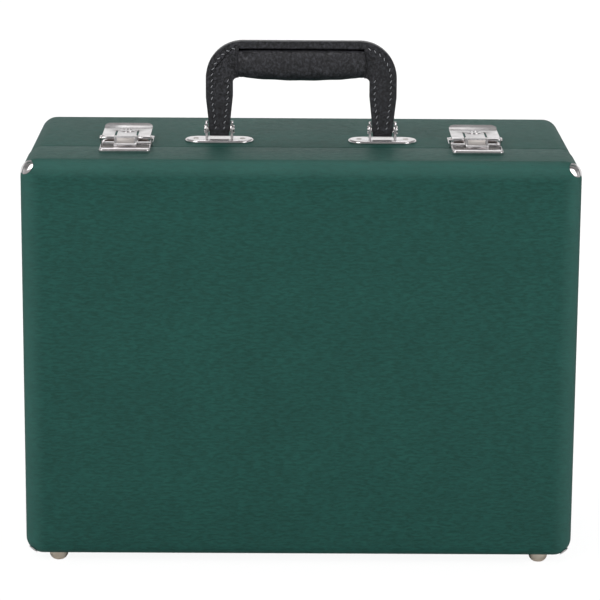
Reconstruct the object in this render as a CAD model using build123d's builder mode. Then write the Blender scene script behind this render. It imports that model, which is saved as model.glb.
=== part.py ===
import os
from math import cos, hypot, radians, sin

from build123d import *

# A rectangular french horn case that stands on its feet: +X is the width, -Y the front
# with the lid, +Z up. The origin is on the ground below the middle of the whole case.

# Case
case_width = 500.0
case_height = 368.0
lid_depth = 71.0
base_depth = 164.0
corner_radius = 16.0
edge_radius = 9.0
rim_radius = 1.2
cover_thickness = 1.2
wood_thickness = 7.0
lid_proud = 0.6
seam_gap = 0.4

# Feet and corner caps
foot_height = 9.0
foot_radius = 8.5
foot_flat_radius = 3.0
foot_skirt = 1.6
foot_bulge_angle = 50.0
foot_inset = 29.0
foot_edge = 17.0
cap_thickness = 0.9
cap_reach = 15.0

# Closing lip
lip_thickness = 3.0
lip_reach = 6.0
lip_seat = 14.0
lip_lead = 0.8

# Padding, whose wells are open to the seam
pad_clearance = 0.3
pad_drop = 2.0
pad_round = 5.0
horn_margin = 21.2
horn_depth = 112.0
horn_wall = 12.0
bay_width = 90.0
bay_height = 70.0
well_wall = 14.0
well_depth = 90.0
well_radius = 12.0
small_well_height = 92.0
bell_depth = 40.0
bell_margin = 4.0
bed_gap = 0.4

# Handle, heights counted from the top of the base
pin_height = 11.6
pin_radius = 2.5
pin_head_radius = 3.6
pin_head = 1.2
leg_thickness = 10.0
knee_clearance = 5.2
knee_width = 24.8
leg_end_inward = 8.6
leg_end_outward = 8.4
knee_height = 42.0
crotch_height = 60.0
shoulder_radius = 34.0
crotch_radius = 4.5
handle_top = 93.5
band_height = 7.6
strap_round = 2.2
grip_half = 57.4
grip_height = 28.0
grip_end_height = 25.4
grip_thickness = 31.0
grip_end_thickness = 27.0
grip_corner = 11.0
grip_gap = 0.3
leg_run = 0.3

# Handle plates
plate_length = 63.0
plate_width = 26.0
plate_thickness = 3.0
plate_round = 1.8
plate_from_seam = 29.0
ear_gap = 20.6
ear_thickness = 2.4
ear_radius = 7.6

# Latches, lengths counted from the seam and heights from the top of the lid
latch_inset = 91.0
lever_width = 44.0
lever_front = 2.5
lever_flat = 39.0
lever_back = 48.0
lever_height = 9.6
lever_skirt = 5.1
lever_lip = 3.3
lever_skirt_back = 36.0
lever_corner = 6.0
lever_bend = 2.2
sheet = 1.2
tongue_half = 8.8
tongue_front = 1.2
slot_width = 1.9
slot_length = 27.0
pivot_y = 2.0
pivot_z = 6.8
pivot_radius = 1.3
pivot_head_radius = 2.2
pivot_head = 0.6
pivot_ear_radius = 2.6
ear_slope = 12.0
hook_pin_y = 9.0
hook_pin_z = 5.4
hook_pin_radius = 1.2
hook_eye_radius = 2.3
run_clearance = 0.05
side_gap = 0.4
boss_radius = 6.5
boss_height = 0.7
boss_dish = 0.3
boss_rim = 1.2
boss_y = 24.0
hook_half = 10.2
hook_sheet = 1.1
hook_front = 24.2
hook_brow = 6.0
hook_crown = 10.0
hook_crown_front = 8.0
hook_top_end = 2.0
hook_foot = 1.8
hook_panel_rim = 2.4
hook_panel_depth = 0.45
hook_waist = 3.2
catch_front = 37.5
catch_back = 4.0
catch_half = 23.0
catch_height = 4.3
catch_roll = 9.0
catch_round = 2.0
catch_rim = 1.6
catch_rim_height = 3.0
catch_corner = 3.0
bar_half = 7.6
bar_height = 4.6
bar_thickness = 1.6
bar_gap = 0.3
latch_plate_back = 46.0

# Hinges
hinge_inset = 100.0
hinge_length = 52.0
knuckle_radius = 2.6
knuckle_count = 5
knuckle_gap = 0.25
hinge_pin_radius = 1.3
hinge_drop = 2.9
leaf_depth = 18.0
leaf_thickness = 1.4
leaf_start = 3.0
leaf_corner = 2.0

# Places that follow from the sizes above
front_y = -(lid_depth + base_depth + foot_height - cap_thickness) / 2
seam_y = front_y + lid_depth
back_y = seam_y + base_depth
case_bottom = foot_height
case_top = foot_height + case_height
base_bottom = case_bottom + lid_proud
base_top = case_top - lid_proud
middle_z = case_bottom + case_height / 2
lid_rim_y = seam_y - seam_gap / 2
base_rim_y = seam_y + seam_gap / 2
wall = cover_thickness + wood_thickness
inner_width = case_width - 2 * lid_proud - 2 * wall
inner_height = case_height - 2 * lid_proud - 2 * wall
inner_radius = corner_radius - lid_proud - wall
pad_face_y = seam_y - lip_reach - pad_drop
bed_face_y = seam_y + lip_seat + pad_drop
horn_radius = inner_height / 2 - horn_margin
horn_x = pad_clearance + horn_wall + horn_radius - inner_width / 2
bed_split = horn_x + horn_radius + horn_wall
bay_z = inner_height / 2 - pad_clearance - horn_wall - bay_height / 2
well_x = (bed_split + inner_width / 2) / 2
well_width = inner_width / 2 - bed_split - 2 * well_wall
small_well_z = inner_height / 2 - pad_clearance - well_wall - small_well_height / 2
large_well_height = inner_height - 2 * pad_clearance - 3 * well_wall - small_well_height
large_well_z = pad_clearance + well_wall + large_well_height / 2 - inner_height / 2
plate_y = seam_y + plate_from_seam
knee_inner = grip_half + knee_clearance
knee_outer = knee_inner + knee_width
plate_centre = (knee_inner + knee_outer) / 2
leg_end_inner = plate_centre - leg_end_inward
leg_end_outer = plate_centre + leg_end_outward
pin_z = base_top + pin_height
hinge_z = case_bottom - hinge_drop
foot_x = case_width / 2 - foot_inset
latch_centre = case_width / 2 - latch_inset
hinge_centre = case_width / 2 - hinge_inset
ear_half = ear_gap / 2
lever_half = lever_width / 2
slot_middle = tongue_half + slot_width / 2
ear_outer = lever_half + side_gap + sheet
sides = (("left", -1), ("right", 1))

os.makedirs("parts", exist_ok=True)


def write(part, name):
    part.label = name
    export_step(part, f"parts/{name}.step")


def facing_front(y):
    """Sketch plane over the case's X and Z about its middle, with its normal to the front."""
    return Plane(origin=(0, y, middle_z), x_dir=(1, 0, 0), z_dir=(0, -1, 0))


def upright(y, z):
    """Sketch plane over the case's X and Z, with its zero at the height z."""
    return Plane(origin=(0, y, z), x_dir=(1, 0, 0), z_dir=(0, -1, 0))


def beside(x):
    """Sketch plane that runs back from the seam and up from the lid's top."""
    return Plane(origin=(x, seam_y, case_top), x_dir=(0, 1, 0), z_dir=(1, 0, 0))


def above(x, height):
    """Level sketch plane at a height over the lid's top, with its zero on the seam."""
    return Plane(origin=(x, seam_y, case_top + height))


def half_solid(seam_face, end_face, inset, rim):
    """One half of the case as a solid rounded block, its outside drawn in by inset."""
    far, near = (0, -1) if end_face < seam_face else (-1, 0)
    with BuildPart() as block:
        with BuildSketch(facing_front(seam_face)):
            RectangleRounded(
                case_width - 2 * inset, case_height - 2 * inset, corner_radius - inset
            )
        extrude(amount=seam_face - end_face)
        fillet(block.faces().sort_by(Axis.Y)[far].edges(), edge_radius - inset)
        if rim:
            fillet(block.faces().sort_by(Axis.Y)[near].edges(), rim)
    return block.part


def hollow(seam_face, end_face, inset):
    """The space inside the walls of one half, open at the seam."""
    with BuildPart() as space:
        with BuildSketch(facing_front(seam_face)):
            RectangleRounded(
                case_width - 2 * inset, case_height - 2 * inset, corner_radius - inset
            )
        extrude(amount=seam_face - end_face)
    return space.part


# Lid and base: a wooden box each, in a leather cover that turns in over its rim
skins = {}
for name, rim_y, far_y, proud, inward in (
    ("lid", lid_rim_y, front_y, 0.0, -1),
    ("base", base_rim_y, back_y, lid_proud, 1),
):
    skins[name] = half_solid(rim_y, far_y, proud, rim_radius)
    wood = half_solid(
        rim_y + inward * cover_thickness,
        far_y - inward * cover_thickness,
        proud + cover_thickness,
        0,
    )
    room = hollow(rim_y, far_y - inward * wall, proud + wall)
    with BuildPart() as cover:
        add(skins[name])
        add(wood, mode=Mode.SUBTRACT)
        add(room, mode=Mode.SUBTRACT)
    write(cover.part, f"{name}_cover")
    with BuildPart() as box:
        add(wood)
        add(room, mode=Mode.SUBTRACT)
    write(box.part, f"{name}_box")

# Closing lip: a ring fixed inside the base that reaches into the lid
with BuildPart() as base_lip:
    with BuildSketch(facing_front(seam_y + lip_seat)):
        RectangleRounded(inner_width, inner_height, inner_radius)
        RectangleRounded(
            inner_width - 2 * lip_thickness,
            inner_height - 2 * lip_thickness,
            inner_radius - lip_thickness,
            mode=Mode.SUBTRACT,
        )
    extrude(amount=lip_seat + lip_reach)
    chamfer(base_lip.faces().sort_by(Axis.Y)[0].outer_wire().edges(), lip_lead)
write(base_lip.part, "base_lip")


def bed_block(low_x, high_x):
    """Padding of the base between two X values, over the box's full height."""
    with BuildPart() as bed:
        with BuildSketch(facing_front(back_y - wall)):
            RectangleRounded(
                inner_width - 2 * pad_clearance,
                inner_height - 2 * pad_clearance,
                inner_radius,
            )
            with Locations(((low_x + high_x) / 2, 0)):
                Rectangle(high_x - low_x, inner_height, mode=Mode.INTERSECT)
        extrude(amount=back_y - wall - bed_face_y)
    return bed.part


# Horn bed: a round well for the body of the horn, with a bay for its valves
with BuildPart() as horn_bed:
    add(bed_block(-inner_width / 2, bed_split - bed_gap / 2))
    with BuildSketch(facing_front(bed_face_y)):
        with Locations((horn_x, 0)):
            Circle(horn_radius)
        with Locations((bed_split - horn_wall - bay_width / 2, bay_z)):
            RectangleRounded(bay_width, bay_height, well_radius)
    extrude(amount=-horn_depth, mode=Mode.SUBTRACT)
    fillet(horn_bed.faces().sort_by(Axis.Y)[0].inner_wires().edges(), pad_round)
write(horn_bed.part, "horn_bed")

# Accessory bed: a small well over a large one
with BuildPart() as accessory_bed:
    add(bed_block(bed_split + bed_gap / 2, inner_width / 2))
    with BuildSketch(facing_front(bed_face_y)):
        with Locations((well_x, small_well_z)):
            RectangleRounded(well_width, small_well_height, well_radius)
        with Locations((well_x, large_well_z)):
            RectangleRounded(well_width, large_well_height, well_radius)
    extrude(amount=-well_depth, mode=Mode.SUBTRACT)
    fillet(accessory_bed.faces().sort_by(Axis.Y)[0].inner_wires().edges(), pad_round)
write(accessory_bed.part, "accessory_bed")

# Lid pad: a shallow round recess for the bell
with BuildPart() as lid_pad:
    with BuildSketch(facing_front(pad_face_y)):
        RectangleRounded(
            inner_width + 2 * lid_proud - 2 * pad_clearance,
            inner_height + 2 * lid_proud - 2 * pad_clearance,
            inner_radius + lid_proud,
        )
    extrude(amount=pad_face_y - front_y - wall)
    with BuildSketch(facing_front(pad_face_y)):
        with Locations((horn_x, 0)):
            Circle(horn_radius + bell_margin)
    extrude(amount=bell_depth, mode=Mode.SUBTRACT)
    fillet(lid_pad.faces().sort_by(Axis.Y)[-1].inner_wires().edges(), pad_round)
write(lid_pad.part, "lid_pad")


def foot(tip, up, height):
    """A pressed metal dome with a flat tip and a short skirt against the case."""
    seat = Vector(*up)
    plane = Plane(origin=tip, x_dir=(1, 0, 0), z_dir=Vector(1, 0, 0).cross(seat))
    bulge = radians(foot_bulge_angle)
    shoulder = height - foot_skirt
    swell = foot_flat_radius + (foot_radius - foot_flat_radius) * sin(bulge)
    with BuildPart() as dome:
        with BuildSketch(plane):
            with BuildLine():
                Polyline((foot_flat_radius, 0), (0, 0), (0, height), (foot_radius, height))
                Line((foot_radius, height), (foot_radius, shoulder))
                ThreePointArc(
                    (foot_radius, shoulder),
                    (swell, shoulder * (1 - cos(bulge))),
                    (foot_flat_radius, 0),
                )
            make_face()
        revolve(axis=Axis(tip, up))
    return dome.part


for side, sign in sides:
    at_x = sign * foot_x
    write(foot((at_x, front_y + foot_edge, 0), (0, 0, 1), foot_height), f"foot_lid_{side}")
    write(
        foot((at_x, back_y - foot_edge, 0), (0, 0, 1), foot_height + lid_proud),
        f"foot_base_{side}",
    )
    for level, at_z in (("low", base_bottom + foot_inset), ("high", base_top - foot_inset)):
        write(
            foot((at_x, back_y + foot_height, at_z), (0, -1, 0), foot_height),
            f"foot_back_{level}_{side}",
        )

# Corner caps: thin metal shells over the four front corners of the lid
grown = half_solid(lid_rim_y, front_y - cap_thickness, -cap_thickness, 0)
for side, sign in sides:
    for level, at_z in (("low", case_bottom), ("high", case_top)):
        with BuildPart() as cap:
            with Locations((sign * case_width / 2, front_y, at_z)):
                Sphere(cap_reach)
            add(grown, mode=Mode.INTERSECT)
            add(skins["lid"], mode=Mode.SUBTRACT)
        write(cap.part, f"corner_cap_{level}_{side}")

# Handle strap: two legs joined by a band, with round ends about the pins
leg_tip = pin_height - leg_thickness / 2
with BuildPart() as handle_strap:
    with BuildSketch(upright(plate_y, base_top)) as arch:
        with BuildLine():
            Polyline(
                (0, handle_top),
                (knee_outer, handle_top),
                (knee_outer, knee_height),
                (leg_end_outer, leg_tip),
                (leg_end_inner, leg_tip),
                (knee_inner, knee_height),
                (knee_inner, crotch_height),
                (grip_half, crotch_height),
                (grip_half, handle_top - band_height),
                (0, handle_top - band_height),
                (0, handle_top),
            )
        make_face()
        fillet(arch.vertices().group_by(Axis.Y)[-1].sort_by(Axis.X)[-1], shoulder_radius)
        fillet(
            arch.vertices().sort_by_distance((knee_inner, crotch_height))[0],
            crotch_radius,
        )
        mirror(about=Plane.YZ)
    extrude(amount=leg_thickness / 2, both=True)
    with BuildSketch(Plane.YZ):
        with Locations((plate_y, pin_z)):
            Circle(leg_thickness / 2)
        with Locations((plate_y, pin_z + handle_top / 2)):
            Rectangle(leg_thickness, handle_top)
    extrude(amount=knee_outer, both=True, mode=Mode.INTERSECT)
    fillet(
        handle_strap.faces().filter_by(Axis.Y).edges().group_by(SortBy.LENGTH)[-1], strap_round
    )
    for sign in (-1, 1):
        with BuildSketch(Plane.YZ.offset(sign * plate_centre)):
            with Locations((plate_y, pin_z)):
                Circle(pin_radius + leg_run)
        extrude(amount=ear_half, both=True, mode=Mode.SUBTRACT)
write(handle_strap.part, "handle_strap")

# Handle grip: a padded barrel under the band, fuller in its middle
grip_top = base_top + handle_top - band_height - grip_gap
with BuildPart() as handle_grip:
    for at_x, height, thickness in (
        (grip_gap - grip_half, grip_end_height, grip_end_thickness),
        (0, grip_height, grip_thickness),
        (grip_half - grip_gap, grip_end_height, grip_end_thickness),
    ):
        with BuildSketch(Plane.YZ.offset(at_x)):
            with Locations((plate_y, grip_top - height / 2)):
                RectangleRounded(thickness, height, grip_corner)
    loft()
write(handle_grip.part, "handle_grip")

# Handle plates: a domed plate with two ears, and the headed pin between them
for side, sign in sides:
    centre = sign * plate_centre
    with BuildPart() as handle_plate:
        with BuildSketch(Plane(origin=(centre, plate_y, base_top))):
            SlotOverall(plate_length, plate_width)
        extrude(amount=plate_thickness)
        fillet(handle_plate.faces().sort_by(Axis.Z)[-1].edges(), plate_round)
        for ear in (-1, 1):
            inner = centre + ear * ear_half
            with BuildSketch(Plane.YZ.offset(inner)):
                with Locations((plate_y, pin_z)):
                    Circle(ear_radius)
                with Locations((plate_y, (base_top + pin_z) / 2)):
                    Rectangle(2 * ear_radius, pin_height)
            extrude(amount=ear * ear_thickness)
        with BuildSketch(Plane.YZ.offset(centre)):
            with Locations((plate_y, pin_z)):
                Circle(pin_radius)
        extrude(amount=ear_half + ear_thickness, both=True, mode=Mode.SUBTRACT)
    write(handle_plate.part, f"handle_plate_{side}")
    with BuildPart() as handle_pin:
        with BuildSketch(Plane.YZ.offset(centre)):
            with Locations((plate_y, pin_z)):
                Circle(pin_radius)
        extrude(amount=ear_half + ear_thickness, both=True)
        for ear in (-1, 1):
            with BuildSketch(Plane.YZ.offset(centre + ear * (ear_half + ear_thickness))):
                with Locations((plate_y, pin_z)):
                    Circle(pin_head_radius)
            extrude(amount=ear * pin_head)
    write(handle_pin.part, f"handle_pin_{side}")


def lever_at(x):
    """Pressed lever: a flat top with a finger lip, side skirts, and a slotted tongue."""
    skirt_low = lever_height - lever_skirt
    ear_face = tongue_half + slot_width + side_gap
    with BuildPart() as lever:
        with BuildSketch(beside(x)) as profile:
            with BuildLine() as run:
                FilletPolyline(
                    (-lever_front, skirt_low),
                    (-lever_front, lever_height),
                    (lever_flat, lever_height),
                    (lever_back, lever_height + lever_lip),
                    radius=lever_bend,
                )
                offset(amount=-sheet, side=Side.RIGHT)
            make_face()
        extrude(amount=lever_half, both=True)
        for sign in (-1, 1):
            with BuildSketch(beside(x + sign * lever_half)):
                with BuildLine():
                    Polyline(
                        (-lever_front + sheet / 2, skirt_low),
                        (-lever_front + sheet / 2, lever_height - sheet / 2),
                        (lever_flat, lever_height - sheet / 2),
                        (lever_skirt_back, skirt_low),
                        close=True,
                    )
                make_face()
            extrude(amount=-sign * sheet)
            with BuildSketch(beside(x + sign * ear_face)):
                with Locations((hook_pin_y, hook_pin_z)):
                    Circle(hook_eye_radius)
                with Locations((hook_pin_y, (hook_pin_z + lever_height) / 2)):
                    Rectangle(2 * hook_eye_radius, lever_height - hook_pin_z - sheet)
            extrude(amount=sign * sheet)
        with BuildSketch(above(x, 0)):
            with Locations(*((sign * slot_middle, (slot_length - lever_front) / 2) for sign in (-1, 1))):
                Rectangle(slot_width, slot_length + lever_front)
            with Locations((0, -lever_front / 2 - tongue_front / 2)):
                Rectangle(2 * tongue_half + slot_width, lever_front - tongue_front)
        extrude(amount=lever_height + lever_lip, mode=Mode.SUBTRACT)
        with BuildSketch(above(x, 0)):
            Rectangle(2 * tongue_half + slot_width, 2 * lever_front)
        extrude(amount=lever_height - sheet, mode=Mode.SUBTRACT)
        with BuildSketch(beside(x)):
            with Locations((hook_pin_y, hook_pin_z)):
                Circle(hook_pin_radius)
            with Locations((pivot_y, pivot_z)):
                Circle(pivot_radius)
        extrude(amount=lever_half, both=True, mode=Mode.SUBTRACT)
        lip_edges = lever.edges().filter_by(lambda edge: edge.length < 2 * sheet)
        corners = lip_edges.group_by(Axis.Y)[-1].group_by(Axis.X)
        fillet(corners[0] + corners[-1], lever_corner)
    return lever.part


def hook_at(x):
    """Folded hook: two arms from the pin, and a sunk panel that slopes to the catch's roll."""
    with BuildPart() as hook:
        with BuildSketch(beside(x)):
            with BuildLine():
                Polyline(
                    (-hook_front, hook_foot),
                    (-hook_front, hook_brow),
                    (-hook_crown_front, hook_crown),
                    (-hook_top_end, hook_crown),
                    (hook_pin_y, hook_pin_z + hook_eye_radius),
                    (hook_pin_y, hook_pin_z - hook_eye_radius),
                    (-hook_crown_front, hook_waist),
                    (-hook_front + hook_sheet, hook_foot),
                    close=True,
                )
            make_face()
            with Locations((hook_pin_y, hook_pin_z)):
                Circle(hook_eye_radius)
        extrude(amount=hook_half, both=True)
        with BuildSketch(beside(x)):
            with BuildLine():
                Polyline(
                    (-hook_front + hook_sheet, 0),
                    (-hook_front + hook_sheet, hook_brow - hook_sheet / 2),
                    (-hook_crown_front + hook_sheet / 2, hook_crown - hook_sheet),
                    (-hook_top_end, hook_crown - hook_sheet),
                    (-hook_top_end, hook_crown + hook_sheet),
                    (hook_pin_y + 2 * hook_eye_radius, hook_crown + hook_sheet),
                    (hook_pin_y + 2 * hook_eye_radius, 0),
                    close=True,
                )
            make_face()
        extrude(amount=hook_half - hook_sheet, both=True, mode=Mode.SUBTRACT)
        with BuildSketch(beside(x)):
            with Locations((hook_pin_y, hook_pin_z)):
                Circle(hook_pin_radius + run_clearance)
        extrude(amount=hook_half, both=True, mode=Mode.SUBTRACT)
        slope_run = hook_front - hook_crown_front
        slope_rise = hook_crown - hook_brow
        slope_middle = Vector(
            x,
            seam_y - (hook_front + hook_crown_front) / 2,
            case_top + (hook_crown + hook_brow) / 2,
        )
        with BuildSketch(Plane(slope_middle, x_dir=(1, 0, 0), z_dir=(0, -slope_rise, slope_run))):
            Rectangle(
                2 * (hook_half - hook_panel_rim),
                hypot(slope_run, slope_rise) - 2 * hook_panel_rim,
            )
        extrude(amount=-hook_panel_depth, mode=Mode.SUBTRACT)
    return hook.part


# Latches: plate with ears, lever on two rivets, hook on a pin, and the catch on the lid
for side, sign in sides:
    x = sign * latch_centre
    plate_low = -lid_proud
    with BuildPart() as latch_plate:
        with BuildSketch(above(x, plate_low)):
            with Locations((0, (latch_plate_back + seam_gap) / 2)):
                Rectangle(2 * ear_outer, latch_plate_back - seam_gap)
        extrude(amount=sheet - plate_low)
        for ear in (-1, 1):
            with BuildSketch(beside(x + ear * ear_outer)):
                with Locations((pivot_y, pivot_z)):
                    Circle(pivot_ear_radius)
                with BuildLine():
                    Polyline(
                        (seam_gap, plate_low),
                        (seam_gap, pivot_z),
                        (pivot_y, pivot_z + pivot_ear_radius),
                        (pivot_y + ear_slope, plate_low),
                        close=True,
                    )
                make_face()
            extrude(amount=-ear * sheet)
        with BuildSketch(beside(x)):
            with Locations((pivot_y, pivot_z)):
                Circle(pivot_radius + run_clearance)
        extrude(amount=ear_outer, both=True, mode=Mode.SUBTRACT)
    write(latch_plate.part, f"latch_plate_{side}")

    write(lever_at(x), f"latch_lever_{side}")
    write(hook_at(x), f"latch_hook_{side}")

    for ear, end in ((-1, "a"), (1, "b")):
        with BuildPart() as rivet:
            with BuildSketch(beside(x + ear * (lever_half - sheet))):
                with Locations((pivot_y, pivot_z)):
                    Circle(pivot_radius)
            extrude(amount=ear * (2 * sheet + side_gap + run_clearance))
            with BuildSketch(beside(x + ear * (ear_outer + run_clearance))):
                with Locations((pivot_y, pivot_z)):
                    Circle(pivot_head_radius)
            extrude(amount=ear * pivot_head)
        write(rivet.part, f"latch_rivet_{side}_{end}")

    with BuildPart() as hook_pin:
        with BuildSketch(beside(x)):
            with Locations((hook_pin_y, hook_pin_z)):
                Circle(hook_pin_radius)
        extrude(amount=tongue_half + slot_width + side_gap + sheet, both=True)
    write(hook_pin.part, f"latch_hook_pin_{side}")

    with BuildPart() as boss:
        with BuildSketch(above(x, lever_height)):
            with Locations((0, boss_y)):
                Circle(boss_radius)
        extrude(amount=boss_height)
        with BuildSketch(above(x, lever_height + boss_height)):
            with Locations((0, boss_y)):
                Circle(boss_radius - boss_rim)
        extrude(amount=-boss_dish, mode=Mode.SUBTRACT)
    write(boss.part, f"latch_boss_{side}")

    with BuildPart() as catch:
        with BuildSketch(above(x, 0)):
            with Locations((0, -(catch_front + catch_back) / 2)):
                RectangleRounded(2 * catch_half, catch_front - catch_back, catch_corner)
        extrude(amount=catch_height)
        fillet(
            catch.faces().sort_by(Axis.Z)[-1].edges().filter_by(Axis.X).sort_by(Axis.Y)[0],
            catch_round,
        )
        with BuildSketch(above(x, sheet)):
            with Locations((0, -(catch_front - catch_roll) / 2)):
                Rectangle(2 * (catch_half - catch_rim), catch_front - catch_roll)
        extrude(amount=catch_height, mode=Mode.SUBTRACT)
        with BuildSketch(above(x, catch_rim_height)):
            with Locations((0, -(catch_front - catch_roll) / 2)):
                Rectangle(2 * catch_half, catch_front - catch_roll)
        extrude(amount=catch_height, mode=Mode.SUBTRACT)
        bar_front = hook_front - hook_sheet - bar_gap
        with BuildSketch(above(x, 0)):
            with Locations((0, bar_thickness / 2 - bar_front)):
                Rectangle(2 * bar_half, bar_thickness)
        extrude(amount=bar_height)
    write(catch.part, f"catch_plate_{side}")


def leaf(centre, inward, under, knuckles):
    """Hinge leaf under one half: a plate joined to its own share of the knuckles."""
    pitch = hinge_length / knuckle_count
    with BuildPart() as plate:
        with BuildSketch(Plane(origin=(centre, seam_y, under))):
            with Locations((0, inward * (leaf_start + leaf_depth) / 2)):
                RectangleRounded(hinge_length, leaf_depth - leaf_start, leaf_corner)
        extrude(amount=-leaf_thickness)
        for index in knuckles:
            low = centre - hinge_length / 2 + index * pitch + knuckle_gap / 2
            with BuildSketch(Plane(origin=(low, seam_y, hinge_z), x_dir=(0, 1, 0), z_dir=(1, 0, 0))):
                Circle(knuckle_radius)
                with BuildLine():
                    Polyline(
                        (0, under - hinge_z - leaf_thickness),
                        (0, under - hinge_z),
                        (inward * (leaf_start + leaf_corner), under - hinge_z),
                        (inward * (leaf_start + leaf_corner), under - hinge_z - leaf_thickness),
                        close=True,
                    )
                make_face()
                Circle(hinge_pin_radius + run_clearance, mode=Mode.SUBTRACT)
            extrude(amount=pitch - knuckle_gap)
    return plate.part


for side, sign in sides:
    centre = sign * hinge_centre
    write(leaf(centre, 1, base_bottom, range(0, knuckle_count, 2)), f"hinge_base_leaf_{side}")
    write(leaf(centre, -1, case_bottom, range(1, knuckle_count, 2)), f"hinge_lid_leaf_{side}")
    with BuildPart() as hinge_pin:
        with BuildSketch(Plane(origin=(centre, seam_y, hinge_z), x_dir=(0, 1, 0), z_dir=(1, 0, 0))):
            Circle(hinge_pin_radius)
        extrude(amount=hinge_length / 2, both=True)
    write(hinge_pin.part, f"hinge_pin_{side}")
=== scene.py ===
import math

import bpy
from mathutils import Matrix, Vector


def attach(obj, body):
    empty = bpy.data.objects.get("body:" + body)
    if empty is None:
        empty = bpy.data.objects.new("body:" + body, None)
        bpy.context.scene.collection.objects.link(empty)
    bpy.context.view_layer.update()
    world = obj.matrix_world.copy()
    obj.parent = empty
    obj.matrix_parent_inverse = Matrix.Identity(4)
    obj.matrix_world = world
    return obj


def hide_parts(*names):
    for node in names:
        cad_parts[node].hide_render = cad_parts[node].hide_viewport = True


# French horn case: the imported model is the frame, and every piece below is fitted on it.
# Sizes are in millimetres in the dictionaries and in metres in the scene.
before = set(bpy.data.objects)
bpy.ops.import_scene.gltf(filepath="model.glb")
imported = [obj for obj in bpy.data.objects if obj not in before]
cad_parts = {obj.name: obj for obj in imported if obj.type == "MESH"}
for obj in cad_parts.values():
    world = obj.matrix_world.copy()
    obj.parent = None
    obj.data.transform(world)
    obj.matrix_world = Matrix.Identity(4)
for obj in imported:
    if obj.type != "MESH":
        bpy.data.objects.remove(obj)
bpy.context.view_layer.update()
scene = bpy.context.scene
mm = 0.001
hair = 0.00001  # points closer than this, in metres, are taken as one


# Working tools
def only(piece):
    if bpy.context.object and bpy.context.object.mode != "OBJECT":
        bpy.ops.object.mode_set(mode="OBJECT")
    bpy.ops.object.select_all(action="DESELECT")
    piece.select_set(True)
    bpy.context.view_layer.objects.active = piece


def pick(piece, kind, rule):  # leaves the piece in edit mode with what the rule takes selected
    only(piece)
    bpy.ops.object.mode_set(mode="EDIT")
    bpy.ops.mesh.select_mode(type=kind)
    bpy.ops.mesh.select_all(action="DESELECT")
    bpy.ops.object.mode_set(mode="OBJECT")
    mesh = piece.data
    if kind == "EDGE":
        spots = [v.co for v in mesh.vertices]
        for e in mesh.edges:
            e.select = bool(rule(spots[e.vertices[0]], spots[e.vertices[1]]))
    if kind == "FACE":
        for f in mesh.polygons:
            f.select = bool(rule(f))
    bpy.ops.object.mode_set(mode="EDIT")


def done():  # back to object mode after a pick
    bpy.ops.object.mode_set(mode="OBJECT")


def settle(piece, name):  # names it and puts its place into its mesh
    only(piece)
    bpy.ops.object.transform_apply(location=True, rotation=True, scale=True)
    piece.name = piece.data.name = name
    return piece


def modify(piece, kind, **settings):
    only(piece)
    step = piece.modifiers.new(kind.title(), kind)
    for key, value in settings.items():
        setattr(step, key, value)
    bpy.ops.object.modifier_apply(modifier=step.name)


def smooth(piece, degrees=35):
    only(piece)
    bpy.ops.object.shade_smooth_by_angle(angle=math.radians(degrees))


def join(pieces, name):
    only(pieces[0])
    for piece in pieces[1:]:
        piece.select_set(True)
    bpy.ops.object.join()
    pieces[0].name = pieces[0].data.name = name
    return pieces[0]


def copyOf(piece, matrix):  # its own mesh, already in place
    twin = bpy.data.objects.new(piece.name, piece.data.copy())
    scene.collection.objects.link(twin)
    twin.data.transform(matrix)
    if matrix.determinant() < 0:
        twin.data.flip_normals()
    return twin


def fromNode(node, name, flat=1.0):  # a merged copy of a CAD node's mesh, flat faces made one
    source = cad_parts[node]
    piece = bpy.data.objects.new(name, source.data.copy())
    scene.collection.objects.link(piece)
    only(piece)
    bpy.ops.mesh.customdata_custom_splitnormals_clear()
    bpy.ops.object.mode_set(mode="EDIT")
    bpy.ops.mesh.select_all(action="SELECT")
    bpy.ops.mesh.remove_doubles(threshold=0.002 * mm)
    if flat:
        bpy.ops.mesh.dissolve_limited(angle_limit=math.radians(flat))
    bpy.ops.object.mode_set(mode="OBJECT")
    piece.data.materials.clear()
    return piece


def cut(piece, tool, operation="DIFFERENCE"):  # cuts with another piece, which is then gone
    modify(piece, "BOOLEAN", object=tool, operation=operation, solver="EXACT")
    bpy.data.objects.remove(tool)


def block(middle, size, turn=(0, 0, 0)):  # a plain cutter, in millimetres and degrees
    bpy.ops.mesh.primitive_cube_add(size=1, location=Vector(middle) * mm, scale=Vector(size) * mm,
                                    rotation=[math.radians(a) for a in turn])
    return bpy.context.object


def secondMaterial(piece, material, rule):  # gives the faces that the rule takes a second material: a matt finish on the hook, painted shade on the catch
    piece.data.materials.append(material)
    for f in piece.data.polygons:
        if rule(f):
            f.material_index = 1


def fit(piece, material, body, slot, *nodes):  # its finish, its body and what it stands for
    piece.data.materials.clear()
    piece.data.materials.append(material)
    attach(piece, body)
    if nodes:
        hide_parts(*nodes)
    return piece


# Camera, studio and floor
cameraSpot = {  # in metres, the tilt in degrees and the small turn and roll in radians
    "location": (-0.01705, -2.5338, 0.8330),
    "tilt": 13.573,
    "turn": -0.00688,
    "roll": 0.00704,
    "lens": 166.05,
    "sensor": 36,
    "reach": 50,
}
bpy.ops.object.camera_add(location=cameraSpot["location"])
camera = bpy.context.object
camera.name = "photoCamera"
aim = (
    Matrix.Rotation(cameraSpot["turn"], 4, "Z")
    @ Matrix.Rotation(math.radians(90 - cameraSpot["tilt"]), 4, "X")
    @ Matrix.Rotation(cameraSpot["roll"], 4, "Z")
)
camera.matrix_world = Matrix.Translation(cameraSpot["location"]) @ aim
camera.data.lens = cameraSpot["lens"]
camera.data.sensor_width = cameraSpot["sensor"]
camera.data.clip_end = cameraSpot["reach"]
scene.camera = camera
scene.view_settings.view_transform = "Standard"


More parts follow.
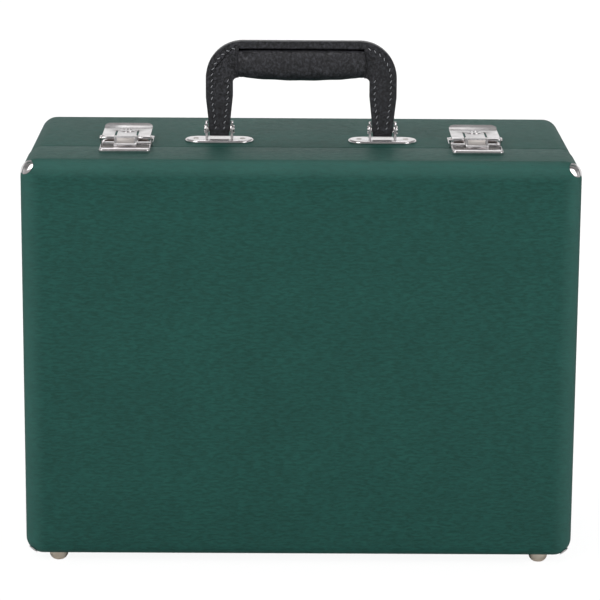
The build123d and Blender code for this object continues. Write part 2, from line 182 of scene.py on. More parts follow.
def linear(hexColour):  # an sRGB hex value as the linear colour that a shader takes
    out = []
    for at in (1, 3, 5):
        value = int(hexColour[at : at + 2], 16) / 255
        out.append(value / 12.92 if value <= 0.04045 else ((value + 0.055) / 1.055) ** 2.4)
    return (*out, 1)


def add(tree, kind, settings=None, **links):  # one node, its settings and what feeds it
    node = tree.nodes.new("ShaderNode" + kind)
    for key, value in (settings or {}).items():
        if isinstance(key, int) or key in node.inputs:
            node.inputs[key].default_value = value
        else:
            setattr(node, key, value)
    for key, source in links.items():  # in0, in1 and so on are sockets by number
        tree.links.new(source, node.inputs[int(key[2:]) if key[2:].isdigit() else key])
    return node


def stops(node, *rows):  # gives a colour ramp its stops, of place and colour or grey level
    elements = node.color_ramp.elements
    while len(elements) < len(rows):
        elements.new(0.5)
    for element, (place, colour) in zip(elements, rows):
        element.position = place
        element.color = linear(colour) if isinstance(colour, str) else (colour, colour, colour, 1)
    return node.outputs["Color"]


studio = {  # powers in watts, places and sizes in metres
    "keyPower": 30, "keySpot": (-1.5, -2.1, 1.9), "keySize": 1.5,
    "fillPower": 16, "fillSpot": (1.7, -1.9, 1.2), "fillSize": 1.3,
    "topPower": 9, "topSpot": (0.1, 0.5, 2.0), "topSize": 1.4,
    "aim": (0, 0, 0.2), "tent": 0.95, "tentDim": 0.42, "tentFrom": -0.5, "tentTo": 0.45,
    "floorSize": 14, "glow": 0.62, "glowFrom": 0.25, "glowTo": 0.9, "veil": 0.8,
}
tentWall = (  # height of the view and level: black below, bright backdrop, darker ceiling
    (0.0, 0.0), (0.005, 1.0), (0.27, 1.0), (0.42, 0.3), (0.85, 0.42),
)


def softbox(lamp):
    spot = Vector(studio[lamp + "Spot"])
    bpy.ops.object.light_add(type="AREA", location=spot)
    light = bpy.context.object
    light.name = lamp + "Softbox"
    light.data.shape = "SQUARE"
    light.data.size = studio[lamp + "Size"]
    light.data.energy = studio[lamp + "Power"]
    light.rotation_euler = (Vector(studio["aim"]) - spot).to_track_quat("-Z", "Y").to_euler()


for lamp in ("key", "fill", "top"):
    softbox(lamp)

world = bpy.data.worlds.new("lightTent")
scene.world = world
world.use_nodes = True
sky = world.node_tree
sky.nodes.clear()
direction = add(sky, "SeparateXYZ", Vector=add(sky, "TexCoord").outputs["Generated"])
# bright behind the case and dim towards the camera, for the metal to show
wall = stops(add(sky, "ValToRGB", Fac=direction.outputs["Z"]), *tentWall)
dimming = {
    "From Min": studio["tentFrom"], "From Max": studio["tentTo"],
    "To Min": studio["tentDim"], "To Max": studio["tent"],
}
depth = add(sky, "MapRange", dimming, Value=direction.outputs["Y"])
tentLight = add(sky, "Background", Color=wall, Strength=depth.outputs[0])
white = add(sky, "Background", {"Color": (1, 1, 1, 1), "Strength": 1})
seen = add(sky, "LightPath").outputs["Is Camera Ray"]
both = add(sky, "MixShader", in0=seen, in1=tentLight.outputs[0], in2=white.outputs[0])
add(sky, "OutputWorld", Surface=both.outputs[0])

bpy.ops.mesh.primitive_plane_add(size=studio["floorSize"])
floor = settle(bpy.context.object, "studioFloor")
# Matt white paper, which glows a little, more so further out, and takes the soft shadow
paper = bpy.data.materials.new("whitePaperFloor")
paper.use_nodes = True
tree = paper.node_tree
tree.nodes.clear()
matt = add(tree, "BsdfDiffuse", {"Color": linear("#F4F4F4")})
away = add(tree, "VectorMath", {"operation": "LENGTH"}, in0=add(tree, "TexCoord").outputs["Object"])
rising = {
    "From Min": studio["glowFrom"], "From Max": studio["glowTo"],
    "To Min": studio["glow"], "To Max": 1.0,
}
lift = add(tree, "MapRange", rising, Value=away.outputs["Value"])
glow = add(tree, "Emission", {"Color": (1, 1, 1, 1)}, Strength=lift.outputs[0])
plain = add(tree, "Emission", {"Color": (0, 0, 0, 1), "Strength": 0})
path = add(tree, "LightPath")
direct = path.outputs["Is Camera Ray"]
lit = add(tree, "MixShader", in0=direct, in1=plain.outputs[0], in2=glow.outputs[0])
sumUp = add(tree, "AddShader", in0=matt.outputs[0], in1=lit.outputs[0])
# seen directly the floor is a thin veil, so that a lid opened below it still shows, lit through it
veil = add(tree, "Math", {"operation": "MULTIPLY_ADD", 1: studio["veil"]},
           in0=direct, in2=path.outputs["Is Shadow Ray"])
clear = add(tree, "BsdfTransparent")
sheet = add(tree, "MixShader", in0=veil.outputs[0], in1=sumUp.outputs[0], in2=clear.outputs[0])
add(tree, "OutputMaterial", Surface=sheet.outputs[0])
floor.data.materials.append(paper)
print("studio ready")


# The case, as the covers and the leather's colour use it
case = {  # proud: how far the lid stands past the base; gap: half of what the seam leaves
    # cornerSlop: how far inside a rounded corner a point still counts as on it
    "width": 500.0, "height": 368.0, "bottom": 9.0, "front": -121.55, "seam": -50.55, "back": 113.45,
    "cornerRadius": 16.0, "edgeRadius": 9.0, "rimRadius": 2.6, "proud": 0.6, "gap": 0.6,
    "wall": 8.2, "leather": 1.1, "cornerSlop": 0.6,
}


# Materials
def newMaterial(name):  # with its tree, its shader and the place on the piece
    material = bpy.data.materials.new(name)
    material.use_nodes = True
    tree = material.node_tree
    shader = tree.nodes["Principled BSDF"]
    place = add(tree, "TexCoord").outputs["Object"]
    return material, tree, shader, place


def perMetre(size):  # texture scale at which one feature is about that many millimetres
    return 1000 / size


paintedLight = {  # painted light: where the faces get a painted highlight and the seam a painted shade, from and to, in millimetres
    "sideFrom": 229, "sideTo": 250, "topFrom": 358, "topTo": 371, "seamFrom": 0.8, "seamTo": 2.8,
    "middleY": -4.05, "broadFrom": 109, "broadTo": 116, "share": 0.6,
}


def fade(edge):  # settings for a smooth rise from 0 to 1 between an edge's two distances
    return {
        "interpolation_type": "SMOOTHSTEP",
        "From Min": paintedLight[edge + "From"] * mm, "From Max": paintedLight[edge + "To"] * mm,
    }


def paintedEdgeHighlight(tree, place):  # painted highlight: 1 along the side and top edges of the front and back faces, where light brightens their rounded edges
    at = add(tree, "SeparateXYZ", Vector=place)
    out = add(tree, "Math", {"operation": "ABSOLUTE"}, in0=at.outputs["X"])
    deep = add(tree, "Math", {"operation": "SUBTRACT", 1: paintedLight["middleY"] * mm}, in0=at.outputs["Y"])
    broad = add(tree, "Math", {"operation": "ABSOLUTE"}, in0=deep.outputs[0])
    sides = add(tree, "MapRange", fade("side"), Value=out.outputs[0])
    upper = add(tree, "MapRange", fade("top"), Value=at.outputs["Z"])
    either = add(tree, "Math", {"operation": "MAXIMUM"}, in0=sides.outputs[0], in1=upper.outputs[0])
    facing = add(tree, "MapRange", fade("broad"), Value=broad.outputs[0])
    both = add(tree, "Math", {"operation": "MULTIPLY"}, in0=either.outputs[0], in1=facing.outputs[0])
    return both.outputs[0]


def paintedSeamShade(tree, place):  # painted shade: 0 in the seam, where the turned rim of the leather lies in the groove's shadow
    at = add(tree, "SeparateXYZ", Vector=place)
    fromSeam = add(tree, "Math", {"operation": "SUBTRACT", 1: case["seam"] * mm}, in0=at.outputs["Y"])
    near = add(tree, "Math", {"operation": "ABSOLUTE"}, in0=fromSeam.outputs[0])
    return add(tree, "MapRange", fade("seam"), Value=near.outputs[0]).outputs[0]


def grainedLeather(name, hide):
    material, tree, shader, place = newMaterial(name)
    blotch = add(tree, "TexNoise", {"Scale": perMetre(60), "Detail": 4.0, "Roughness": 0.6},
                 Vector=place)
    fine = add(tree, "TexNoise", {"Scale": perMetre(9), "Detail": 6.0, "Roughness": 0.65},
               Vector=place)
    along = add(tree, "Mapping", {"Scale": hide["stretch"]}, Vector=place)
    wrinkled = {
        "Scale": perMetre(hide["crease"]), "Detail": 5.0, "Roughness": 0.62, "Distortion": 0.6,
    }
    creases = add(tree, "TexNoise", wrinkled, Vector=along.outputs[0]).outputs["Fac"]
    dyed = stops(add(tree, "ValToRGB", Fac=creases),
                 (0.4, hide["dark"]), (0.5, hide["mid"]), (0.62, hide["light"]))
    multiply = {"data_type": "RGBA", "blend_type": "MULTIPLY", 0: 1.0}
    if "paintedLight" in hide:
        # painted highlight along the rounded edges of the front and back
        share = add(tree, "MapRange", {"To Max": paintedLight["share"]}, Value=paintedEdgeHighlight(tree, place))
        edgeHighlight = {"data_type": "RGBA", 7: linear(hide["paintedLight"])}
        dyed = add(tree, "Mix", edgeHighlight, in0=share.outputs[0], in6=dyed).outputs[2]
        # painted shade in the seam groove
        groove = add(tree, "MapRange", {"To Min": hide["groove"]}, Value=paintedSeamShade(tree, place))
        dyed = add(tree, "Mix", multiply, in6=dyed, in7=groove.outputs[0]).outputs[2]
    worn = stops(add(tree, "ValToRGB", Fac=blotch.outputs["Fac"]), (0.35, 0.9), (0.65, 1.0))
    colour = add(tree, "Mix", multiply, in6=dyed, in7=worn)
    tree.links.new(colour.outputs[2], shader.inputs["Base Color"])
    cells = {"Scale": perMetre(hide["pebble"]), "feature": "SMOOTH_F1", "Smoothness": 0.6}
    pebbles = add(tree, "TexVoronoi", cells, Vector=place)
    folds = stops(add(tree, "ValToRGB", Fac=creases), (0.36, 0.0), (0.5, 1.0), (0.62, 0.9))
    grain = add(tree, "Bump", {"Strength": hide["pebbleDepth"], "Distance": 0.4 * mm},
                Height=pebbles.outputs["Distance"])
    relief = add(tree, "Bump", {"Strength": hide["creaseDepth"], "Distance": 0.6 * mm},
                 Height=folds, Normal=grain.outputs[0])
    tree.links.new(relief.outputs[0], shader.inputs["Normal"])
    polish = add(tree, "MapRange", {"To Min": hide["rough"] - 0.06, "To Max": hide["rough"] + 0.08},
                 Value=fine.outputs["Fac"])
    tree.links.new(polish.outputs[0], shader.inputs["Roughness"])
    shader.inputs["IOR"].default_value = 1.45
    shader.inputs["Specular IOR Level"].default_value = hide["gloss"]
    return material


# Grained cowhide, dyed green and finished satin: a pebble under long soft creases, both drawn
# coarser than the real grain, which would be too fine to show. Pebble and crease in millimetres.
greenLeather = grainedLeather("grainedGreenLeather", {
    # the edges get a painted highlight and the seam a painted shade
    "dark": "#1C4E45", "mid": "#20544C", "light": "#245B52", "paintedLight": "#42726A", "groove": 0.3,
    "pebble": 1.5, "pebbleDepth": 0.2, "crease": 7.0, "creaseDepth": 0.45,
    "rough": 0.5, "gloss": 0.25, "stretch": (1.0, 3.8, 3.8),
})
# Grained cowhide, black: deeper and rounder pebbles, also coarser than real, and a soft shine
blackLeather = grainedLeather("grainedBlackLeather", {
    "dark": "#18181B", "mid": "#29292D", "light": "#414147",
    "pebble": 2.0, "pebbleDepth": 0.6, "crease": 2.6, "creaseDepth": 0.6,
    "rough": 0.42, "gloss": 0.5, "stretch": (1.2, 1.0, 1.0),
})
# Near-black leather under each stitch: painted shade of the awl's prick holes, darker and duller than
# the strap
prickShadeLeather = grainedLeather("paintedPrickShadeLeather", {
    "dark": "#08080A", "mid": "#0D0D0F", "light": "#141417",
    "pebble": 1.0, "pebbleDepth": 0.2, "crease": 2.0, "creaseDepth": 0.2,
    "rough": 0.8, "gloss": 0.2, "stretch": (1, 1, 1),
})


# Nickel plate on pressed steel: warm white metal, with a faint haze and wipe marks along it that
# are drawn coarser than real ones, to show
def nickel(name, colours, rough, haze):
    material, tree, shader, place = newMaterial(name)
    along = add(tree, "Mapping", {"Scale": (0.4, 1.6, 1.6)}, Vector=place)
    wipes = add(tree, "TexNoise", {"Scale": perMetre(3.0), "Detail": 5.0, "Roughness": 0.7},
                Vector=along.outputs[0])
    bloom = add(tree, "TexNoise", {"Scale": perMetre(14), "Detail": 3.0}, Vector=place)
    tone = stops(add(tree, "ValToRGB", Fac=bloom.outputs["Fac"]), (0.35, colours[0]), (0.65, colours[1]))
    tree.links.new(tone, shader.inputs["Base Color"])
    shader.inputs["Metallic"].default_value = 1
    polish = add(tree, "MapRange", {"To Min": rough, "To Max": rough + haze},
                 Value=wipes.outputs["Fac"])
    tree.links.new(polish.outputs[0], shader.inputs["Roughness"])
    relief = add(tree, "Bump", {"Strength": 0.05, "Distance": 0.1 * mm}, Height=wipes.outputs["Fac"])
    tree.links.new(relief.outputs[0], shader.inputs["Normal"])
    return material


# bright plates that mirror the studio
polishedNickel = nickel("polishedNickelPlate", ("#D8D4D4", "#E6E3E4"), 0.10, 0.16)
# feet: warmer, with a soft blurred shine
satinNickel = nickel("satinNickelPlate", ("#D8C9B8", "#E6DACC"), 0.28, 0.2)
# the hook's sunk slope: a dull light grey
mattNickel = nickel("mattPressedNickel", ("#B5AEAA", "#C6C0BC"), 0.34, 0.2)
# the floor of the catch: brownish grey, painted shade for the dark recess
recessShadeNickel = nickel("paintedShadeNickelFloor", ("#5E544E", "#7A6F68"), 0.3, 0.2)
# screw heads: a little duller and darker than the plates they hold
screwNickel = nickel("nickelPlatedScrew", ("#B9B4AE", "#CFCBC6"), 0.2, 0.2)


# Short plush or felt: a soft pile that brightens at its edges, its tufts drawn coarser than real
def plush(name, colours, pile):
    material, tree, shader, place = newMaterial(name)
    nap = add(tree, "TexNoise", {"Scale": perMetre(pile), "Detail": 4.0, "Roughness": 0.7},
              Vector=place)
    patchy = {"Scale": perMetre(45), "Detail": 3.0, "Roughness": 0.55, "Distortion": 0.8}
    brushed = add(tree, "TexNoise", patchy, Vector=place)
    tone = add(tree, "Math", {"operation": "MULTIPLY_ADD", 1: 0.5},
               in0=nap.outputs["Fac"], in2=brushed.outputs["Fac"])
    colour = stops(add(tree, "ValToRGB", Fac=tone.outputs[0]),
                   (0.5, colours[0]), (0.78, colours[1]), (1.0, colours[2]))
    tree.links.new(colour, shader.inputs["Base Color"])
    shader.inputs["Roughness"].default_value = 0.95
    shader.inputs["Sheen Weight"].default_value = 0.55
    shader.inputs["Sheen Roughness"].default_value = 0.35
    shader.inputs["Specular IOR Level"].default_value = 0.15
    relief = add(tree, "Bump", {"Strength": 0.6, "Distance": 0.6 * mm}, Height=nap.outputs["Fac"])
    tree.links.new(relief.outputs[0], shader.inputs["Normal"])
    return material


# the pads: brushed this way and that, so darker and lighter patches
blackPlush = plush("shortBlackPlush", ("#141417", "#1E1E22", "#2A2A30"), 1.6)
# the boxes' lining: flatter and more even
liningFelt = plush("gluedBlackFelt", ("#17171A", "#202024", "#29292E"), 2.4)


# Satin anodised aluminium: dull white metal with fine lines along it, drawn coarser than real
def anodised(name):
    material, tree, shader, place = newMaterial(name)
    along = add(tree, "Mapping", {"Scale": (0.02, 1, 1)}, Vector=place)
    drawn = add(tree, "TexNoise", {"Scale": perMetre(1.2), "Detail": 3.0}, Vector=along.outputs[0])
    tone = stops(add(tree, "ValToRGB", Fac=drawn.outputs["Fac"]), (0.3, "#B4B5B8"), (0.7, "#C6C7CA"))
    tree.links.new(tone, shader.inputs["Base Color"])
    shader.inputs["Metallic"].default_value = 1
    polish = add(tree, "MapRange", {"To Min": 0.3, "To Max": 0.44}, Value=drawn.outputs["Fac"])
    tree.links.new(polish.outputs[0], shader.inputs["Roughness"])
    return material


satinAluminium = anodised("satinAnodisedAluminium")


# Waxed polyester thread: slightly shiny, its twist drawn coarser than real
def thread(name, colours):
    material, tree, shader, place = newMaterial(name)
    along = add(tree, "Mapping", {"Scale": (1, 0.3, 1)}, Vector=place)
    twist = add(tree, "TexWave", {"Scale": perMetre(1.1), "Distortion": 1.5}, Vector=along.outputs[0])
    tone = stops(add(tree, "ValToRGB", Fac=twist.outputs["Color"]), (0.2, colours[0]), (0.8, colours[1]))
    tree.links.new(tone, shader.inputs["Base Color"])
    shader.inputs["Roughness"].default_value = 0.5
    relief = add(tree, "Bump", {"Strength": 0.5, "Distance": 0.1 * mm}, Height=twist.outputs["Fac"])
    tree.links.new(relief.outputs[0], shader.inputs["Normal"])
    return material


greyThread = thread("waxedGreyThread", ("#7E7F84", "#B2B3B8"))
print("materials ready")


# Leather covers of the lid and the base
def onOutline(p, wide, high, middle, radius):  # on the outer outline of the rim, straight or round
    x = abs(p.x)
    z = abs(p.z - middle)
    if x > wide / 2 - hair or z > high / 2 - hair:
        return True
    inX = x - (wide / 2 - radius)
    inZ = z - (high / 2 - radius)
    return inX > 0 and inZ > 0 and math.hypot(inX, inZ) > radius - case["cornerSlop"] * mm


def leatherCover(body, rimY, farY, proud):
    wide = (case["width"] - 2 * proud) * mm
    high = (case["height"] - 2 * proud) * mm
    middle = (case["bottom"] + case["height"] / 2) * mm
    radius = (case["cornerRadius"] - proud) * mm
    rimY, farY = rimY * mm, farY * mm
    bpy.ops.mesh.primitive_cube_add(size=1, location=(0, (rimY + farY) / 2, middle),
                                    scale=(wide, abs(farY - rimY), high))
    cover = settle(bpy.context.object, body + "Leather")
    pick(cover, "EDGE", lambda a, b: abs(a.y - b.y) > radius)
    bpy.ops.mesh.bevel(offset=radius, segments=12, affect="EDGES")
    pick(cover, "EDGE", lambda a, b: max(abs(a.y - farY), abs(b.y - farY)) < hair)
    bpy.ops.mesh.bevel(offset=(case["edgeRadius"] - proud) * mm, segments=10, affect="EDGES")
    pick(cover, "FACE", lambda f: abs(f.center.y - rimY) < hair)
    bpy.ops.mesh.inset(thickness=case["wall"] * mm)
    bpy.ops.mesh.delete(type="FACE")

    def onRim(p):
        return abs(p.y - rimY) < hair and onOutline(p, wide, high, middle, radius)

    pick(cover, "EDGE", lambda a, b: onRim(a) and onRim(b))
    bpy.ops.mesh.bevel(offset=case["rimRadius"] * mm, segments=4, affect="EDGES")
    done()
    modify(cover, "SOLIDIFY", thickness=case["leather"] * mm, offset=-1, use_even_offset=True)
    smooth(cover, 30)
    fit(cover, greenLeather, body, "green_leather", f"{body}_cover")


leatherCover("lid", case["seam"] - case["gap"], case["front"], 0.0)
leatherCover("base", case["seam"] + case["gap"], case["back"], case["proud"])
for node in ("lid_box", "base_box"):  # the wooden boxes show only inside, where felt lines them
    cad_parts[node].data.materials.clear()
    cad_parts[node].data.materials.append(liningFelt)
print("covers ready")

# Nickel fittings
fittings = {  # node: (body, bevel in mm)
    "handle_plate": ("base", 0.3), "handle_pin": ("base", 0.25), "latch_plate": ("base", 0.2),
    "hinge_base_leaf": ("base", 0.2), "hinge_lid_leaf": ("lid", 0.2), "hinge_pin": ("base", 0.15),
    "catch_plate": ("lid", 0.25), "latch_lever": ("latch_lever", 0.25),
    "latch_boss": ("latch_lever", 0.15), "latch_hook_pin": ("latch_lever", 0.1),
    "latch_hook": ("latch_hook", 0.25),
}
latchFinishAndShade = {"hookPanel": 389.55, "shadedCatchFloor": 379.2}  # faces that lie lower get the matt finish on the hook and painted shade on the catch


def fitting(node, body, bevel, material=polishedNickel):
    piece = fromNode(node, node + "_nickel")
    if bevel:
        modify(piece, "BEVEL", width=bevel * mm, segments=2, limit_method="ANGLE",
               angle_limit=math.radians(40))
    smooth(piece, 35)
    return fit(piece, material, body, "nickel_plate", node)


for side in ("left", "right"):
    for node, (body, bevel) in fittings.items():
        fitting(f"{node}_{side}", body if body in ("base", "lid") else f"{body}_{side}", bevel)
    for end in ("a", "b"):
        fitting(f"latch_rivet_{side}_{end}", f"latch_lever_{side}", 0.2)
    for level in ("low", "high"):
        fitting(f"foot_back_{level}_{side}", "base", 0, satinNickel)
    fitting(f"foot_lid_{side}", "lid", 0, satinNickel)
    fitting(f"foot_base_{side}", "base", 0, satinNickel)


def sunkPanel(f):  # the slope of the hook, under its raised rim
    low = f.normal.dot(f.center) < latchFinishAndShade["hookPanel"] * mm
    return low and f.normal.z > 0.9 and f.normal.y < -0.15


# the catch's low floor, which gets painted shade
def shadedCatchFloor(f):
    return f.normal.z > 0.95 and f.center.z < latchFinishAndShade["shadedCatchFloor"] * mm


for side in ("left", "right"):
    secondMaterial(bpy.data.objects[f"latch_hook_{side}_nickel"], mattNickel, sunkPanel)
    secondMaterial(bpy.data.objects[f"catch_plate_{side}_nickel"], recessShadeNickel, shadedCatchFloor)

cap = {  # each cap is trimmed to the small leaves that show, with a slit between them on each edge
    "highReach": 13.2, "lowReach": 11.6, "highMiddle": (0, -4.0, -1.5), "lowMiddle": (0, 2.0, -3.6),
    "slit": 0.9, "slitLong": 16.0, "slitFrom": 6.4, "bevel": 0.15,
}


def cornerCap(level):  # the left one, trimmed, and its mirror image on the right
    piece = fromNode(f"corner_cap_{level}_left", f"corner_cap_{level}_left_nickel", 0)
    up = 1 if level == "high" else -1
    cornerZ = case["bottom"] + (case["height"] if level == "high" else 0)
    corner = Vector((-case["width"] / 2, case["front"], cornerZ))
    middle = corner + Vector(cap[level + "Middle"])
    bpy.ops.mesh.primitive_uv_sphere_add(segments=64, ring_count=32,
                                         radius=cap[level + "Reach"] * mm, location=middle * mm)
    cut(piece, bpy.context.object, "INTERSECT")
    far = cap["slitFrom"] + cap["slitLong"] / 2
    thick, long = cap["slit"], cap["slitLong"]
    cut(piece, block(corner + Vector((far, 0, 0)), (long, thick, long), (45 * up, 0, 0)))
    cut(piece, block(corner + Vector((0, 0, -up * far)), (thick, long, long), (0, 0, -45)))
    cut(piece, block(corner + Vector((0, far, 0)), (thick, long, long), (0, -45 * up, 0)))
    modify(piece, "BEVEL", width=cap["bevel"] * mm, segments=2, limit_method="ANGLE",
           angle_limit=math.radians(50))
    smooth(piece, 35)
    twin = copyOf(piece, Matrix.Diagonal((-1, 1, 1, 1)))
    twin.name = twin.data.name = f"corner_cap_{level}_right_nickel"
    for side, one in (("left", piece), ("right", twin)):
        fit(one, polishedNickel, "lid", "nickel_plate", f"corner_cap_{level}_{side}")


for level in ("low", "high"):
    cornerCap(level)

screw = {  # slotted oval-head screws, whose middle stands over the face; turns in degrees
    "radius": 2.4, "high": 0.7, "edge": 0.4, "slot": 0.6, "deep": 0.45, "stands": 0.1,
    "turn": 20, "turnMore": 47,
}
handleScrews = {"middle": 75.0, "along": (-21.5, 21.5), "y": -21.55, "face": 379.4}
latchScrews = {"middle": 159.0, "along": (-15.0, 15.0), "y": -14.0, "face": 378.2}
baseHingeScrews = {"middle": 150.0, "along": (-20.0, 0.0, 20.0), "y": -41.0, "face": 8.0}
lidHingeScrews = {"middle": 150.0, "along": (-20.0, 0.0, 20.0), "y": -60.0, "face": 7.4}
bpy.ops.mesh.primitive_cylinder_add(vertices=28, radius=screw["radius"] * mm, depth=screw["high"] * mm)
head = settle(bpy.context.object, "screwHead")
pick(head, "EDGE", lambda a, b: a.z > 0 and b.z > 0)
bpy.ops.mesh.bevel(offset=screw["edge"] * mm, segments=3, affect="EDGES")
done()
cut(head, block((0, 0, screw["high"] / 2), (3 * screw["radius"], screw["slot"], 2 * screw["deep"])))
smooth(head, 35)


def screws(name, body, row, up=1):  # the screws of the left and the right plate as one piece
    outward = Vector((0, 0, 1)).rotation_difference(Vector((0, 0, up))).to_matrix().to_4x4()
    copies = []
    for side in (-1, 1):
        for along in row["along"]:
            turn = math.radians(screw["turn"] + screw["turnMore"] * len(copies))
            spot = Vector((side * row["middle"] + along, row["y"], row["face"] + up * screw["stands"]))
            place = Matrix.Translation(spot * mm) @ outward @ Matrix.Rotation(turn, 4, "Z")
            copies.append(copyOf(head, place))
    fit(join(copies, name), screwNickel, body, "nickel_plate")


screws("handlePlateScrews", "base", handleScrews)
screws("latchPlateScrews", "base", latchScrews)
screws("baseHingeScrews", "base", baseHingeScrews, -1)
screws("lidHingeScrews", "lid", lidHingeScrews, -1)
bpy.data.objects.remove(head)
print("screws ready")

lip = fitting("base_lip", "base", 0.2, satinAluminium)
print("fittings ready")

# Handle
handle = {  # pipe: the raised rim round the sunk face; loop: the leg end's radius round its pin
    "plane": -21.55, "top": 376.4, "height": 93.5, "thick": 10.0, "pipe": 2.6, "sunk": 0.6,
    "edge": 0.6, "pin": 388.0, "loop": 7.9, "loopStretch": 1.5, "endUnderPin": 2, "turnUnderPin": 3,
    "kneeOuter": 87.4, "kneeInner": 62.6, "kneeHeight": 42.0, "legOuter": 83.4, "legInner": 66.4,
    "shoulder": 34.0, "crotch": 58.0,
}
sewing = {  # the rows' distances are from the strap's edge; the thread is drawn thick, to show
    "pitch": 5.5, "length": 3.9, "wide": 1.15, "thick": 0.9, "slant": 32, "low": 10.5,
    "outerRow": 5.4, "innerRow": 4.6, "prickLength": 5.2, "prickWide": 2.0, "prickFlat": 0.55,
}

strap = fromNode("handle_strap", "strapLeather")
planeY = handle["plane"] * mm
for v in strap.data.vertices:  # the leg ends reach down and round the pin as a sewn loop
    if v.co.z < (handle["pin"] - handle["endUnderPin"]) * mm:
        v.co.z -= handle["loopStretch"] * mm
pick(strap, "FACE", lambda f: abs(f.normal.y) > 0.99 and f.area > 500 * mm * mm)
bpy.ops.mesh.inset(thickness=handle["pipe"] * mm, depth=-handle["sunk"] * mm)
done()
modify(strap, "BEVEL", width=handle["edge"] * mm, segments=3, limit_method="ANGLE",
       angle_limit=math.radians(35))
pick(strap, "FACE", lambda f: f.center.z < (handle["pin"] - handle["turnUnderPin"]) * mm)
bpy.ops.mesh.subdivide(number_cuts=3)
done()
for v in strap.data.vertices:  # the underside of each leg end is rounded to the loop's radius
    away = Vector((0, v.co.y - planeY, v.co.z - handle["pin"] * mm))
    if away.z < 0 and away.length > handle["loop"] * mm:
        away.length = handle["loop"] * mm
        v.co.y, v.co.z = planeY + away.y, handle["pin"] * mm + away.z
smooth(strap, 50)
fit(strap, blackLeather, "handle", "black_leather", "handle_strap")


def legRow(outward):  # middle of each stitch and the row's direction there, for the right leg
    if outward:
        inset = sewing["outerRow"]
        leg, knee = handle["legOuter"], handle["kneeOuter"]
        turnAt = handle["height"] - handle["shoulder"]
    else:
        inset = -sewing["innerRow"]
        leg, knee = handle["legInner"], handle["kneeInner"]
        turnAt = handle["crotch"]
    path = [
        Vector((leg - inset, sewing["low"])),
        Vector((knee - inset, handle["kneeHeight"])),
        Vector((knee - inset, turnAt)),
    ]
    if outward:  # on round the shoulder
        middle = Vector((knee - handle["shoulder"], turnAt))
        for degrees in range(4, 79, 4):
            a = math.radians(degrees)
            path.append(middle + (handle["shoulder"] - inset) * Vector((math.cos(a), math.sin(a))))
    spots = []
    travelled = 0.0
    wanted = sewing["pitch"] / 2
    for start, end in zip(path, path[1:]):
        length = (end - start).length
        while travelled + length >= wanted:
            along = (wanted - travelled) / length
            spots.append((start.lerp(end, along), (end - start).normalized()))
            wanted += sewing["pitch"]
        travelled += length
    return spots


bpy.ops.mesh.primitive_uv_sphere_add(segments=8, ring_count=6, radius=0.5)
stitch = settle(bpy.context.object, "stitch")
stitchSize = (sewing["wide"] * mm, sewing["thick"] * mm, sewing["length"] * mm)
stitch.data.transform(Matrix.Diagonal((*stitchSize, 1)))
# a flat near-black oval under each stitch, painted shade of its prick holes
prick = copyOf(stitch, Matrix.Diagonal((
    sewing["prickWide"] / sewing["wide"], sewing["prickFlat"],
    sewing["prickLength"] / sewing["length"], 1)))
faceY = (handle["thick"] / 2 - handle["sunk"]) * mm
stitches, pricks = [], []
for outward in (True, False):
    for spot, way in legRow(outward):
        for leg in (-1, 1):
            slant = math.atan2(way.x * leg, way.y) + math.radians(sewing["slant"])
            for front in (-1, 1):
                height = (spot.y + handle["top"]) * mm
                place = Vector((spot.x * leg * mm, planeY + front * faceY, height))
                where = Matrix.Translation(place) @ Matrix.Rotation(slant, 4, "Y")
                stitches.append(copyOf(stitch, where))
                pricks.append(copyOf(prick, where))
bpy.data.objects.remove(stitch)
bpy.data.objects.remove(prick)
fit(join(pricks, "strapPrickShade"), prickShadeLeather, "handle", "black_leather")
rows = join(stitches, "strapStitches")
smooth(rows, 60)
fit(rows, greyThread, "handle", "black_leather")
print("strap ready")

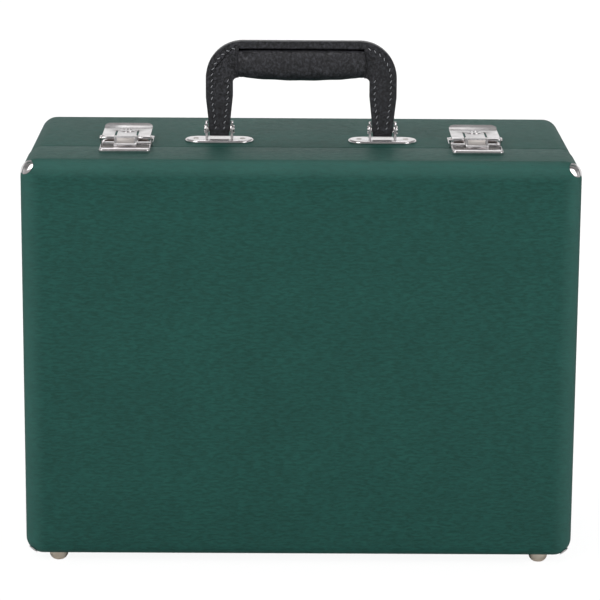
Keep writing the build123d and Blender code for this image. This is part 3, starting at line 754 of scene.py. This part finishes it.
grip = {  # the seams are measured from the end, and the folds are in radians to the metre
    "voxel": 1.6, "end": 57.1, "middle": 448.0, "seams": (3.4, 5.6), "seamWide": 0.7, "groove": 0.5,
    "tuck": 1.4, "tuckIn": 1.5, "slack": 0.18, "folds": (260, 300, 520, 180),
}
gripPiece = fromNode("handle_grip", "gripLeather", 0)
modify(gripPiece, "REMESH", mode="VOXEL", voxel_size=grip["voxel"] * mm)
modify(gripPiece, "SMOOTH", factor=0.5, iterations=3)
alongX, alongZ, acrossZ, acrossY = grip["folds"]
for v in gripPiece.data.vertices:  # two sewn lines round each end, and a few slack folds
    fromEnd = grip["end"] - abs(v.co.x) / mm
    sunk = sum(math.exp(-((fromEnd - seam) / grip["seamWide"]) ** 2) for seam in grip["seams"])
    away = Vector((0, v.co.y - planeY, v.co.z - grip["middle"] * mm)).normalized()
    wave = math.sin(v.co.x * alongX + v.co.z * alongZ) * math.sin(v.co.z * acrossZ + v.co.y * acrossY)
    slack = grip["slack"] * wave
    v.co += away * (slack - grip["groove"] * sunk) * mm
    if fromEnd < grip["tuck"]:
        v.co.x += math.copysign(grip["tuckIn"] * mm, v.co.x)
modify(gripPiece, "SUBSURF", levels=1, render_levels=1)
smooth(gripPiece, 60)
fit(gripPiece, blackLeather, "handle", "black_leather", "handle_grip")
print("grip ready")

# Padding
padding = {  # soft swells, mostly inwards, as foam under plush has; swells in radians to the metre
    "voxel": 3.0, "smoothing": 14, "swell": 0.5, "inwards": 0.6, "swells": (47, 31, 53, -19, 60),
}
longX, longZ, crossZ, crossX, crossY = padding["swells"]
for node, body in (("horn_bed", "base"), ("accessory_bed", "base"), ("lid_pad", "lid")):
    pad = fromNode(node, node + "_plush", 0)
    modify(pad, "REMESH", mode="VOXEL", voxel_size=padding["voxel"] * mm)
    modify(pad, "SMOOTH", factor=0.5, iterations=padding["smoothing"])
    normals = [v.normal.copy() for v in pad.data.vertices]  # read before any vertex moves
    for v, normal in zip(pad.data.vertices, normals):
        x, y, z = v.co
        swell = math.sin(x * longX + z * longZ) * math.sin(z * crossZ + x * crossX + y * crossY)
        v.co += normal * (swell - padding["inwards"]) * padding["swell"] * mm
    smooth(pad, 60)
    fit(pad, blackPlush, body, "plush_padding", node)
print("padding ready")
